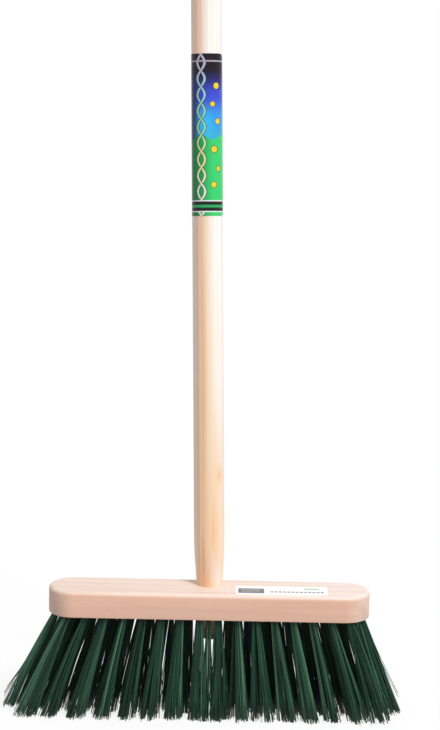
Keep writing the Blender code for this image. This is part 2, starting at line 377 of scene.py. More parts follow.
def tuft_holes():
    """A cutter of all the blind holes, drilled into the underside along each tuft's direction."""
    deselect()
    drills = []
    for _, x, y, thin in tuft_places():
        axis = tuft_direction(x, y).normalized()
        width = MIDDLE_TUFT_RADIUS if thin else TUFT_RADIUS
        depth = HOLE_DEPTH + OVERRUN
        bpy.ops.mesh.primitive_cylinder_add(
            vertices=HOLE_SIDES,
            radius=width + HOLE_GAP,
            depth=depth,
            location=tuft_mouth(x, y) + axis * (OVERRUN - depth / 2),
            rotation=axis.to_track_quat("Z", "Y").to_euler(),
        )
        drills.append(bpy.context.object)
    for drill in drills:
        drill.select_set(True)
    bpy.ops.object.join()
    cutter = bpy.context.object
    settle(cutter)
    return cutter


def make_head():
    """The beech head: a bar with nearly half round ends and sanded rims, drilled for the handle
    and the tufts."""
    bpy.ops.mesh.primitive_cube_add(size=1, location=HEAD_MIDDLE, scale=HEAD_SIZE)
    head = bpy.context.object
    settle(head)
    edit(head)
    pick_edges(head, lambda first, second: abs(first.z - second.z) > HEAD_SIZE.z / 2)
    bpy.ops.mesh.bevel(
        offset=HEAD_CORNER, segments=HEAD_CORNER_STEPS, profile=0.5, affect="EDGES"
    )
    pick_edges(head, lambda first, second: min(first.z, second.z) > HEAD_MIDDLE.z)
    bpy.ops.mesh.bevel(offset=TOP_RIM, segments=TOP_RIM_STEPS, profile=0.5, affect="EDGES")
    pick_edges(head, lambda first, second: max(first.z, second.z) < HEAD_MIDDLE.z)
    bpy.ops.mesh.bevel(offset=BOTTOM_RIM, segments=BOTTOM_RIM_STEPS, profile=0.5, affect="EDGES")
    leave_edit()
    carve(head, handle_hole())
    carve(head, tuft_holes())
    settle(head)
    bpy.ops.object.shade_smooth_by_angle(angle=HEAD_SMOOTH)
    return head


def lay_sheet(middle, width, length, corner, corner_steps):
    """A flat sheet with round corners, left in edit mode."""
    bpy.ops.mesh.primitive_plane_add(size=1, location=middle)
    sheet = bpy.context.object
    sheet.scale = (width, length, 1)
    settle(sheet)
    edit(sheet)
    bpy.ops.mesh.select_all(action="SELECT")
    bpy.ops.mesh.bevel(offset=corner, segments=corner_steps, affect="VERTICES")
    return sheet


def cut_strips(start, width, strips):
    """In edit mode, cut a sheet into even strips from a start along X, so that it can bend."""
    for i in range(1, strips):
        bpy.ops.mesh.select_all(action="SELECT")
        bpy.ops.mesh.bisect(plane_co=(start + width * i / strips, 0, 0), plane_no=(1, 0, 0))


def make_film():
    """The printed film: a flat sheet with round corners, laid out in a UV map and then wrapped."""
    middle = Vector((FILM_RIGHT - FILM_WIDTH / 2, FILM_FROM_SEAT + FILM_LENGTH / 2, 0))
    film = lay_sheet(middle, FILM_WIDTH, FILM_LENGTH, FILM_CORNER, FILM_CORNER_STEPS)
    cut_strips(FILM_RIGHT, -FILM_WIDTH, FILM_STRIPS)
    leave_edit()

    flat = film.data.uv_layers.new(name="flat_print")
    for loop in film.data.loops:
        place = film.data.vertices[loop.vertex_index].co
        flat.data[loop.index].uv = (place.x, place.y - FILM_FROM_SEAT)
    for vert in film.data.vertices:
        angle = vert.co.x / FILM_RADIUS
        vert.co = (FILM_RADIUS * sin(angle), -FILM_RADIUS * cos(angle), vert.co.y)

    wall = film.modifiers.new("wall", "SOLIDIFY")
    wall.thickness = FILM_THICKNESS
    wall.offset = 0
    bpy.context.view_layer.objects.active = film
    bpy.ops.object.modifier_apply(modifier=wall.name)
    film.matrix_world = HANDLE_PLACE
    settle(film)
    bpy.ops.object.shade_smooth_by_angle(angle=ROD_SMOOTH)
    return film


def make_label():
    """The paper label, glued down flat but for its right end, which lifts a little."""
    size = LABEL_HIGH - LABEL_LOW
    place = Vector((LABEL_MIDDLE.x, LABEL_MIDDLE.y, HEAD_HIGH.z))
    label = lay_sheet(place, size.x, size.y, LABEL_CORNER, LABEL_CORNER_STEPS)
    cut_strips(LABEL_LOW.x, size.x, LABEL_STRIPS)
    bpy.ops.mesh.select_all(action="SELECT")
    bpy.ops.mesh.extrude_region_move(TRANSFORM_OT_translate={"value": (0, 0, LABEL_PAPER)})
    leave_edit()
    for vert in label.data.vertices:
        share = max(0, 1 - (LABEL_HIGH.x - vert.co.x) / LABEL_LIFT_LENGTH)
        vert.co.z += LABEL_LIFT * share * share
    settle(label)
    bpy.ops.object.shade_smooth_by_angle(angle=LABEL_SMOOTH)
    return label


def model_filament():
    """One straight four-sided filament of unit length, hanging down from the origin and ringed
    where it can bend."""
    bpy.ops.mesh.primitive_cylinder_add(
        vertices=4, radius=FILAMENT_RADIUS, depth=1, location=(0, 0, -0.5)
    )
    filament = bpy.context.object
    settle(filament)
    edit(filament)
    for share in FILAMENT_BENDS:
        bpy.ops.mesh.select_all(action="SELECT")
        bpy.ops.mesh.bisect(plane_co=(0, 0, -share), plane_no=(0, 0, 1))
    leave_edit()
    return filament


def disc_point(chance, radius):
    """A random point in a disc, evenly spread."""
    angle = chance.uniform(0, 2 * pi)
    reach = radius * sqrt(chance.random())
    return Vector((reach * cos(angle), reach * sin(angle), 0))


class Strand:
    """One filament's line: from its root in the hole, out with the tuft and down to its tip.

    The spread flares it by a power of the share of the way, the bow bends its middle aside, and
    the scatter carries off its tip.
    """

    def __init__(self, root, axis, spread, power, bow, scatter, tip_height):
        self.root = root
        self.axis = axis
        self.spread = spread
        self.power = power
        self.bow = bow
        self.scatter = scatter
        self.length = (tip_height - root.z) / axis.z

    def point(self, share):
        """The point at a share of the way from root to tip."""
        along = self.axis * self.length * share
        flare = self.spread * share**self.power
        bulge = self.bow * share * (1 - share) * 4
        level = self.root + along + flare + bulge + self.scatter * share * share
        level.z = self.root.z + along.z
        return level


def tuft_strands(x, y, thin, chance):
    """One tuft's strands, drawn together in clumps and scattered at their tips, and their tones; a
    centre-row tuft's tones are darkened as painted shade.
    """
    axis = tuft_direction(x, y)
    radius = MIDDLE_TUFT_RADIUS if thin else TUFT_RADIUS
    inner = y == 0 and not is_outermost(x)
    if thin:
        flare = MIDDLE_TUFT_FLARE
    elif inner:
        flare = CENTRE_TUFT_FLARE
    else:
        flare = TUFT_FLARE
    flare *= chance.uniform(1 - FLARE_UNEVENNESS, 1 + FLARE_UNEVENNESS)
    power = MIDDLE_FLARE_POWER if thin else FLARE_POWER
    root_radius = (radius - FILAMENT_RADIUS) * (FRONT_ROOT_SHARE if y < 0 and not thin else 1)
    natural_tip = END_TIP_RISE * (abs(x) / LAST_TUFT_X) ** END_TIP_POWER
    bow = Vector((min(axis.x, 0), 0, 0)) * BRISTLE_REACH * BOW_SHARE
    sway = disc_point(chance, TUFT_SWAY)
    # Painted shade: the centre row's inner tufts, which lie in shade, get a darker tone
    shade = CENTRE_ROW_PAINTED_SHADE if inner else 1
    clumps = [disc_point(chance, radius) for _ in range(CLUMPS)]
    clump_tones = [chance.random() for _ in range(CLUMPS)]
    strands = []
    tones = []
    for _ in range(MIDDLE_FILAMENTS if thin else FILAMENTS):
        offset = disc_point(chance, root_radius)
        near = min(range(CLUMPS), key=lambda c: (clumps[c] - offset).length)
        drawn = offset.lerp(clumps[near], CLUMP_PULL)
        stray = chance.random() < STRAY_CHANCE
        scatter = sway + disc_point(chance, STRAY_SCATTER if stray else TIP_SCATTER)
        tip = natural_tip + chance.uniform(-TIP_TRIM, TIP_RAGGED)
        root = tuft_mouth(x, y) + offset - axis.normalized() * ROOT_IN_HOLE
        spread = drawn * flare - offset
        strands.append(Strand(root, axis, spread, power, bow, scatter, max(0, tip)))
        own_tone = (1 - CLUMP_TONE_SHARE) * chance.random()
        tones.append(shade * (CLUMP_TONE_SHARE * clump_tones[near] + own_tone))
    return strands, tones


def end_strays(x, y, chance):
    """A few filaments that stand away from the outermost tuft."""
    strands = []
    tones = []
    axis = tuft_direction(x, y)
    for _ in range(END_STRAYS_RIGHT if x > 0 else END_STRAYS_LEFT):
        offset = disc_point(chance, TUFT_RADIUS)
        root = tuft_mouth(x, y) + offset - axis.normalized() * ROOT_IN_HOLE
        tip = BRISTLE_REACH * chance.uniform(*END_STRAY_LIFT)
        reach = END_STRAY_REACH * chance.uniform(END_STRAY_LEAST, 1)
        scatter = Vector((copysign(reach, x), 0, 0)) + disc_point(chance, TIP_SCATTER)
        strands.append(Strand(root, axis, offset, FLARE_POWER, Vector(), scatter, tip))
        tones.append(chance.random())
    return strands, tones


def build_tuft(name, filament, strands, tones):
    """Bend a copy of the filament along each strand, and join them in one mesh that keeps each
    filament's tone and each point's share of the way along it."""
    shape = bmesh.new()
    for strand in strands:
        first = len(shape.verts)
        shape.from_mesh(filament.data)
        shape.verts.ensure_lookup_table()
        for vert in shape.verts[first:]:
            across = Vector((vert.co.x, vert.co.y, 0))
            vert.co = strand.point(-vert.co.z) + across
    mesh = bpy.data.meshes.new(name)
    shape.to_mesh(mesh)
    shape.free()
    each = len(filament.data.vertices)
    shares = [-vert.co.z for vert in filament.data.vertices]
    tone = mesh.attributes.new("tone", "FLOAT", "POINT")
    tone.data.foreach_set("value", [value for value in tones for _ in range(each)])
    along = mesh.attributes.new("along", "FLOAT", "POINT")
    along.data.foreach_set("value", shares * len(strands))
    mesh.shade_smooth()
    tuft = bpy.data.objects.new(name, mesh)
    bpy.context.collection.objects.link(tuft)
    return tuft


def feed(tree, made, inputs):
    """Set a node's inputs. Each is a value, or the socket that feeds it."""
    for name, value in inputs.items():
        if isinstance(value, bpy.types.NodeSocket):
            tree.links.new(value, made.inputs[name])
        else:
            made.inputs[name].default_value = value


def node(tree, kind, inputs=None, **settings):
    """Add a shader node with its own settings and its inputs."""
    made = tree.nodes.new("ShaderNode" + kind)
    for name, value in settings.items():
        setattr(made, name, value)
    feed(tree, made, inputs or {})
    return made


def calc(tree, operation, first, second=0.0, clamp=False):
    """One step of arithmetic; gives its result socket."""
    made = node(tree, "Math", {0: first, 1: second}, operation=operation, use_clamp=clamp)
    return made.outputs[0]


def mix(tree, share, first, second):
    """Blend two colours by a share; gives the colour socket."""
    made = node(tree, "Mix", {0: share, 6: first, 7: second}, data_type="RGBA")
    return made.outputs[2]


def calc_vector(tree, operation, first, second=(0, 0, 0)):
    """One step of arithmetic on a vector; gives its result socket."""
    made = node(tree, "VectorMath", {0: first, 1: second}, operation=operation)
    return made.outputs["Value" if operation == "LENGTH" else "Vector"]


def ease(tree, value, low, high, to_low=0.0, to_high=1.0):
    """A smooth step between two values."""
    made = node(
        tree,
        "MapRange",
        {"Value": value, "From Min": low, "From Max": high, "To Min": to_low, "To Max": to_high},
        interpolation_type="SMOOTHSTEP",
    )
    return made.outputs["Result"]


def noise(tree, place, scale, detail=2.0):
    """Plain noise of a stretched place, from 0 to 1."""
    stretched = calc_vector(tree, "MULTIPLY", place, scale)
    made = node(tree, "TexNoise", {"Vector": stretched, "Scale": 1.0, "Detail": detail})
    return made.outputs["Fac"]


def ramp(tree, value, stops):
    """A colour ramp with soft steps between (position, colour) stops."""
    made = node(tree, "ValToRGB", {"Fac": value})
    made.color_ramp.interpolation = "EASE"
    while len(made.color_ramp.elements) < len(stops):
        made.color_ramp.elements.new(1.0)
    for element, (position, color) in zip(made.color_ramp.elements, stops):
        element.position = position
        element.color = color
    return made.outputs["Color"]


def open_group(name, takes, gives):
    """Start a node group with named inputs and outputs; gives its tree and its input node."""
    tree = bpy.data.node_groups.new(name, "ShaderNodeTree")
    for label, kind, value in takes:
        socket = tree.interface.new_socket(label, in_out="INPUT", socket_type="NodeSocket" + kind)
        socket.default_value = value
    for label, kind in gives:
        tree.interface.new_socket(label, in_out="OUTPUT", socket_type="NodeSocket" + kind)
    return tree, tree.nodes.new("NodeGroupInput")


def close_group(tree, **results):
    """Feed a group's outputs."""
    feed(tree, tree.nodes.new("NodeGroupOutput"), results)


def stain(tree, color, tint, mark, inputs, strength=1.0):
    """Lay a tint over a colour where a mark's node group says; gives the colour socket."""
    made = node(tree, "Group", inputs, node_tree=mark)
    return mix(tree, calc(tree, "MULTIPLY", made.outputs["Mask"], strength), color, tint)


def wood_grain_group():
    """Wood whose grain runs along Z: year rings, fibres, short dark flecks and slow shading."""
    tree, given = open_group(
        "wood_grain",
        [
            ("Place", "Vector", (0, 0, 0)),
            ("Pale", "Color", (0.8, 0.7, 0.5, 1)),
            ("Tan", "Color", (0.6, 0.4, 0.25, 1)),
            ("Rings", "Float", 300.0),
            ("Ring strength", "Float", 0.5),
            ("Shade strength", "Float", 0.3),
            ("Fleck strength", "Float", 0.2),
        ],
        [("Color", "Color"), ("Roughness", "Float"), ("Height", "Float")],
    )
    place = given.outputs["Place"]

    # Year rings are planes that a slow drift bends, each fading in and ending sharply
    drift = noise(tree, place, (22, 22, 1.7))
    parts = node(tree, "SeparateXYZ", {0: place})
    side = calc(tree, "MULTIPLY", parts.outputs["X"], 0.83)
    side = calc(tree, "ADD", side, calc(tree, "MULTIPLY", parts.outputs["Y"], 0.55))
    phase = calc(tree, "MULTIPLY", side, given.outputs["Rings"])
    phase = calc(tree, "ADD", phase, calc(tree, "MULTIPLY", drift, 5.0))
    cycle = calc(tree, "FRACT", phase)
    late = calc(tree, "MULTIPLY", ease(tree, cycle, 0.25, 0.85), ease(tree, cycle, 1.0, 0.9))

    shade = ease(tree, noise(tree, place, (95, 95, 5.5)), 0.35, 0.7)
    fibre = noise(tree, place, (1500, 1500, 40), 3.0)
    fleck = ease(tree, noise(tree, place, (1300, 1300, 260), 1.0), 0.62, 0.72)

    # The tone goes from the pale wood to the tan one
    tone = calc(tree, "MULTIPLY", late, given.outputs["Ring strength"])
    tone = calc(tree, "ADD", tone, calc(tree, "MULTIPLY", shade, given.outputs["Shade strength"]))
    wobble = calc(tree, "MULTIPLY", calc(tree, "SUBTRACT", fibre, 0.5), 0.3)
    tone = calc(tree, "ADD", tone, wobble, clamp=True)
    color = mix(tree, tone, given.outputs["Pale"], given.outputs["Tan"])
    dark = mix(tree, 0.55, given.outputs["Tan"], (0.16, 0.07, 0.03, 1))
    flecked = calc(tree, "MULTIPLY", fleck, given.outputs["Fleck strength"])
    close_group(
        tree,
        Color=mix(tree, flecked, color, dark),
        Roughness=ease(tree, fibre, 0.2, 0.8, 0.42, 0.6),
        Height=calc(tree, "SUBTRACT", fibre, calc(tree, "MULTIPLY", fleck, 0.6)),
    )
    return tree


def spot_group():
    """A soft oval mark round a middle point, of a given size each way. It is full inside its core,
    a share of that size, and fades from there."""
    tree, given = open_group(
        "soft_spot",
        [
            ("Place", "Vector", (0, 0, 0)),
            ("Middle", "Vector", (0, 0, 0)),
            ("Size", "Vector", (1, 1, 1)),
            ("Core", "Float", 0.3),
        ],
        [("Mask", "Float")],
    )
    off = calc_vector(tree, "SUBTRACT", given.outputs["Place"], given.outputs["Middle"])
    off = calc_vector(tree, "DIVIDE", off, given.outputs["Size"])
    reach = calc_vector(tree, "LENGTH", off)
    close_group(tree, Mask=ease(tree, reach, 1.0, given.outputs["Core"]))
    return tree


def bar_group():
    """A printed bar in the flat layout, with round corners and a crisp edge."""
    tree, given = open_group(
        "printed_bar",
        [
            ("Place", "Vector", (0, 0, 0)),
            ("Middle", "Vector", (0, 0, 0)),
            ("Half size", "Vector", (1, 1, 1)),
            ("Round", "Float", 0.0),
        ],
        [("Mask", "Float")],
    )
    off = calc_vector(tree, "SUBTRACT", given.outputs["Place"], given.outputs["Middle"])
    off = calc_vector(tree, "ABSOLUTE", off)
    off = calc_vector(tree, "SUBTRACT", off, given.outputs["Half size"])
    parts = node(tree, "SeparateXYZ", {0: off})
    over_x = calc(tree, "MAXIMUM", calc(tree, "ADD", parts.outputs["X"], given.outputs["Round"]))
    over_y = calc(tree, "MAXIMUM", calc(tree, "ADD", parts.outputs["Y"], given.outputs["Round"]))
    squares = calc(tree, "ADD", calc(tree, "POWER", over_x, 2.0), calc(tree, "POWER", over_y, 2.0))
    edge = calc(tree, "SUBTRACT", calc(tree, "SQRT", squares), given.outputs["Round"])
    close_group(tree, Mask=ease(tree, edge, *PRINT_EDGE))
    return tree


def ribbon_group():
    """A printed ribbon that winds up the flat layout about a line, with a crisp edge."""
    tree, given = open_group(
        "printed_ribbon",
        [
            ("Place", "Vector", (0, 0, 0)),
            ("Side", "Float", 0.0),
            ("Swing", "Float", 0.003),
            ("Turns", "Float", 160.0),
            ("Start", "Float", 0.0),
            ("Half width", "Float", 0.001),
        ],
        [("Mask", "Float")],
    )
    parts = node(tree, "SeparateXYZ", {0: given.outputs["Place"]})
    turn = calc(tree, "MULTIPLY", parts.outputs["Y"], given.outputs["Turns"])
    wave = calc(tree, "SINE", calc(tree, "ADD", turn, given.outputs["Start"]))
    middle = calc(tree, "MULTIPLY", wave, given.outputs["Swing"])
    middle = calc(tree, "ADD", middle, given.outputs["Side"])
    off = calc(tree, "ABSOLUTE", calc(tree, "SUBTRACT", parts.outputs["X"], middle))
    edge = calc(tree, "SUBTRACT", off, given.outputs["Half width"])
    close_group(tree, Mask=ease(tree, edge, *PRINT_EDGE))
    return tree


def start_material(name, settings):
    """A material with its shader's own sockets set; gives material, tree and shader."""
    finish = bpy.data.materials.new(name)
    finish.use_nodes = True
    tree = finish.node_tree
    shader = tree.nodes["Principled BSDF"]
    feed(tree, shader, settings)
    return finish, tree, shader


def bump(tree, shader, height, strength, depth):
    """Raise a shader's surface by a height that changes over it."""
    raised = node(tree, "Bump", {"Height": height, "Strength": strength, "Distance": depth})
    feed(tree, shader, {"Normal": raised.outputs["Normal"]})


def beech_finish(grain):
    """Planed beech with its grain along the head and end grain on its round ends. The top is painted
    paler as a painted sheen, and the top and the round ends are painted paler towards the right and
    darker towards the left, as painted light and shade."""
    finish, tree, shader = start_material("beech", {"Specular IOR Level": 0.4})
    place = node(tree, "TexCoord").outputs["Object"]
    along = node(
        tree, "Mapping", {"Vector": place, "Rotation": (0, pi / 2, 0)}, vector_type="POINT"
    ).outputs[0]
    parts = node(tree, "SeparateXYZ", {0: place})
    # Painted sheen: the top face is painted paler than the sides, as if light falls on it.
    top = ease(tree, parts.outputs["Z"], HEAD_HIGH.z - TOP_RIM, HEAD_HIGH.z - 0.4 * MM)
    # Painted light and shade: the top and the round ends are painted paler towards the right and
    # darker towards the left, as if lit from the right.
    right = ease(tree, parts.outputs["X"], -20 * MM, 150 * MM)
    from_middle = calc(tree, "ABSOLUTE", parts.outputs["X"])
    end_grain = ease(tree, from_middle, HEAD_HIGH.x - HEAD_CORNER, HEAD_HIGH.x - 4 * MM, 0, 0.9)
    end_grain_pale_painted_light = mix(tree, right, (0.76, 0.545, 0.45, 1), (0.83, 0.645, 0.54, 1))
    pale = mix(tree, end_grain, (0.90, 0.57, 0.43, 1), end_grain_pale_painted_light)
    tan = mix(tree, end_grain, (0.79, 0.435, 0.305, 1), (0.66, 0.42, 0.33, 1))
    painted_sheen_top_pale = mix(tree, right, (0.86, 0.70, 0.61, 1), (0.90, 0.78, 0.72, 1))
    painted_sheen_top_tan = mix(tree, right, (0.66, 0.43, 0.33, 1), (0.72, 0.53, 0.43, 1))
    wood = node(tree, "Group", {
        "Place": along,
        "Pale": mix(tree, top, pale, painted_sheen_top_pale),
        "Tan": mix(tree, top, tan, painted_sheen_top_tan),
        "Rings": 120.0,
        "Ring strength": 0.13,
        "Shade strength": 0.45,
        "Fleck strength": 0.16,
    }, node_tree=grain)
    feed(tree, shader, {
        "Base Color": wood.outputs["Color"],
        "Roughness": wood.outputs["Roughness"],
    })
    bump(tree, shader, wood.outputs["Height"], 0.25, 0.12 * MM)
    return finish


def pine_finish(grain, spot):
    """Sanded pine: cream with long tan streaks, two small knots and a foot with darker streaks. The
    foot's end under the head is painted dark as painted shade, and a pale line up the left edge is a
    painted reflection of light.
    """
    finish, tree, shader = start_material("pine", {"Specular IOR Level": 0.45})
    place = node(tree, "TexCoord").outputs["Object"]
    on_rod = node(
        tree,
        "Mapping",
        {"Vector": place, "Location": SEAT, "Rotation": HANDLE_TURN},
        vector_type="TEXTURE",
    ).outputs[0]
    wood = node(tree, "Group", {
        "Place": on_rod,
        "Pale": (0.97, 0.955, 0.93, 1),
        "Tan": (0.90, 0.72, 0.55, 1),
        "Rings": 150.0,
        "Ring strength": 0.26,
        "Shade strength": 0.22,
        "Fleck strength": 0.05,
    }, node_tree=grain)

    # Each mark: its middle from the seat and its size, in millimetres, its tint and its strength
    marks = (
        ((-8.5, -11, 500), (10, 18, 2600), (0.97, 0.56, 0.36, 1), 0.72),
        ((-2, -14, 300), (8.5, 14, 200), (0.97, 0.64, 0.38, 1), 0.5),
        ((-2, -14, 0), (32, 60, 330), (0.90, 0.60, 0.36, 1), 0.95),
        ((-5.2, -13, 300), (1.1, 5, 900), (0.93, 0.52, 0.30, 1), 0.5),
        ((-9.6, -10, 400), (1.0, 5, 900), (0.84, 0.50, 0.34, 1), 0.4),
        ((-4.4, -13, 190), (1.5, 5, 120), (0.88, 0.43, 0.24, 1), 0.5),
        ((-5, -13, 255), (3.2, 8, 60), (0.95, 0.58, 0.36, 1), 0.5),
        ((0.8, -14, 520), (1.0, 5, 260), (0.95, 0.74, 0.56, 1), 0.5),
        ((4.4, -13, 580), (0.9, 5, 200), (0.95, 0.76, 0.60, 1), 0.4),
        ((-5.5, -12, 12), (2.4, 7, 60), (0.72, 0.34, 0.17, 1), 0.8),
        ((9.5, -10, 102), (4.6, 10, 15), (0.92, 0.58, 0.27, 1), 0.65),
        ((9.8, -10, 103), (2.2, 8, 5), (0.84, 0.46, 0.18, 1), 0.4),
        ((5.5, -13, 50), (5.0, 9, 42), (0.90, 0.50, 0.27, 1), 0.6),
        ((3.6, -13, 50), (1.0, 5, 26), (0.82, 0.40, 0.19, 1), 0.5),
        ((0, -14, 0), (24, 40, 46), (0.82, 0.48, 0.31, 1), 0.55),
        ((7.5, -7, 8), (6.5, 9, 26), (0.78, 0.80, 0.74, 1), 0.65),
        ((-3.8, -13.5, 165), (4.0, 8, 190), (0.94, 0.54, 0.31, 1), 0.5),
        ((-7.4, -12, 180), (1.5, 5, 420), (1.00, 0.76, 0.60, 1), 0.5),
        # Painted reflected light: a pale line up the handle's left edge
        ((-12.2, -7.5, 180), (2.4, 6, 500), (1.00, 0.86, 0.76, 1), 0.75),
        ((9, -10, 185), (6, 10, 60), (0.97, 0.93, 0.88, 1), 0.5),
        ((6, -13, 262), (7, 8, 70), (0.97, 0.84, 0.62, 1), 0.3),
        ((-2.2, -14, 185), (3.8, 8, 75), (0.95, 0.58, 0.30, 1), 0.4),
        ((-0.5, -14, 320), (5, 8, 60), (0.96, 0.78, 0.54, 1), 0.3),
        ((-3.4, -9, 12), (1.3, 7, 42), (0.80, 0.38, 0.20, 1), 0.6),
        ((-1.2, -11, 4), (2.2, 8, 20), (0.80, 0.38, 0.20, 1), 0.4),
        ((3.8, -12, 16), (6.5, 9, 32), (0.84, 0.80, 0.75, 1), 0.28),
        ((0.5, -14, 175), (4.5, 8, 150), (0.95, 0.78, 0.48, 1), 0.3),
        ((7, -12, 75), (7, 9, 60), (0.88, 0.64, 0.42, 1), 0.3),
        ((6, 12, 620), (4.0, 8, 520), (0.84, 0.56, 0.38, 1), 0.45),
        ((-10, 8, 880), (2.6, 6, 9), (0.50, 0.27, 0.14, 1), 0.6),
        # Painted shade: the foot's end under the head, in shade among the tufts, is painted dark
        # brown
        ((0, 0, -50), (20, 20, 34), (0.60, 0.25, 0.09, 1), 0.85),
    )
    color = wood.outputs["Color"]
    for middle, size, tint, strength in marks:
        color = stain(tree, color, tint, spot, {
            "Place": on_rod,
            "Middle": Vector(middle) * MM,
            "Size": Vector(size) * MM,
            "Core": 0.1,
        }, strength)
    feed(tree, shader, {"Base Color": color, "Roughness": wood.outputs["Roughness"]})
    bump(tree, shader, wood.outputs["Height"], 0.2, 0.1 * MM)
    return finish


def film_finish(bar, spot, ribbon):
    """Glossy film printed from black at the top over blue to green, with two winding ribbons, plain
    bands and dots. The same print comes twice round the handle. Its sky and meadow are painted darker
    to the left and brighter to the right, as painted shade and light."""
    finish, tree, shader = start_material(
        "printed_film", {"Specular IOR Level": 0.17, "Coat Weight": 0.08, "Coat Roughness": 0.06}
    )
    flat_print = node(tree, "UVMap", uv_map="flat_print").outputs["UV"]
    parts = node(tree, "SeparateXYZ", {0: flat_print})
    half_turn = FILM_WIDTH / 4
    side = node(
        tree, "Math", {0: parts.outputs["X"], 1: half_turn, 2: -half_turn}, operation="WRAP"
    ).outputs[0]
    height = parts.outputs["Y"]
    flat = node(tree, "CombineXYZ", {"X": side, "Y": height}).outputs[0]
    rise = calc(tree, "DIVIDE", height, FILM_LENGTH)
    black = (0.010, 0.006, 0.012, 1)

    # The sky goes up from light blue to black, with a glow in its middle
    sky = ramp(tree, rise, (
        (0.46, (0.045, 0.46, 0.66, 1)),
        (0.60, (0.040, 0.34, 0.86, 1)),
        (0.74, (0.055, 0.080, 0.66, 1)),
        (0.85, (0.028, 0.026, 0.20, 1)),
        (0.93, black),
    ))
    sky = stain(tree, sky, (0.055, 0.60, 1.0, 1), spot, {
        "Place": flat,
        "Middle": (-4 * MM, 84 * MM, 0),
        "Size": (14 * MM, 24 * MM, 1),
        "Core": 0.0,
    }, 0.85)

    # Painted shade: the sky is painted darker towards the print's left side, and the print's right
    # edge shades into the dark left edge of the next one
    seam_painted_shade = ease(tree, side, half_turn - 3 * MM, half_turn)
    painted_left_shade = calc(tree, "MAXIMUM", ease(tree, side, -4 * MM, -15 * MM), seam_painted_shade)
    painted_left_shade = calc(tree, "MULTIPLY", painted_left_shade, 0.92)
    sky = mix(tree, painted_left_shade, sky, (0.006, 0.020, 0.11, 1))
    night = ease(tree, height, 0.80 * FILM_LENGTH, 0.92 * FILM_LENGTH)
    sky = mix(tree, night, sky, black)

    # The meadow below it ends in a line of low hills. It is painted dark on its left and bright on
    # its right, as painted shade and light.
    painted_right_light = calc(tree, "SUBTRACT", ease(tree, side, -15 * MM, 8 * MM), seam_painted_shade)
    meadow = mix(tree, painted_right_light, (0.010, 0.21, 0.055, 1), (0.045, 0.66, 0.17, 1))
    hills = calc(tree, "SINE", calc(tree, "MULTIPLY", side, 2 * pi / half_turn))
    line = calc(tree, "ADD", height, calc(tree, "MULTIPLY", hills, HILL_HEIGHT))
    color = mix(tree, ease(tree, line, MEADOW_TOP, MEADOW_TOP - MEADOW_EDGE), sky, meadow)

    # Two ribbons cross each other all the way up, each an ink over a wider dark outline
    inks = ramp(tree, rise, (
        (0.10, (0.88, 0.90, 0.80, 1)),
        (0.35, (0.86, 0.80, 0.36, 1)),
        (0.55, (0.34, 0.78, 0.48, 1)),
        (0.75, (0.36, 0.66, 0.70, 1)),
        (0.95, (0.56, 0.50, 0.66, 1)),
    ))
    dark = (0.02, 0.06, 0.05, 1)
    for start, half_width, ink in (
        (0.0, 1.6, dark), (0.0, 1.0, inks), (pi, 1.6, dark), (pi, 1.0, inks)
    ):
        color = stain(tree, color, ink, ribbon, {
            "Place": flat,
            "Side": RIBBON_SIDE,
            "Swing": RIBBON_SWING,
            "Turns": 2 * pi / RIBBON_TURN_LENGTH,
            "Start": start,
            "Half width": half_width * MM,
        })

    # Each band: its height, half its width and its ink
    bands = (
        (9, 5.5, (0.86, 0.88, 0.86, 1)),
        (9, 4.4, (0.012, 0.016, 0.014, 1)),
        (9, 1.2, (0.03, 0.42, 0.13, 1)),
        (144, 0.7, (0.42, 0.38, 0.50, 1)),
    )
    for up, half, ink in bands:
        color = stain(tree, color, ink, bar, {
            "Place": flat,
            "Middle": (0, up * MM, 0),
            "Half size": (1, half * MM, 0),
            "Round": 0.2 * MM,
        })

    # Each dot: its place and radius. It lies on a dark one that is a little larger.
    dots = (
        (9.5, 121, 3.0),
        (5.5, 104, 2.4),
        (11, 88, 2.7),
        (7, 62, 3.2),
        (11.5, 44, 2.4),
        (6.5, 29, 2.8),
    )
    for across, up, size in dots:
        for grown, ink in ((1.18, dark), (1.0, (0.90, 0.66, 0.03, 1))):
            color = stain(tree, color, ink, spot, {
                "Place": flat,
                "Middle": Vector((across, up, 0)) * MM,
                "Size": Vector((size * grown, size * grown, 1000)) * MM,
                "Core": 0.93,
            })
    scuff = ease(tree, noise(tree, flat, (420, 90, 1), 3.0), 0.3, 0.8, 0.18, 0.36)
    feed(tree, shader, {"Base Color": color, "Roughness": scuff})
    bump(tree, shader, noise(tree, flat, (160, 55, 1), 1.0), 0.12, 0.4 * MM)
    return finish


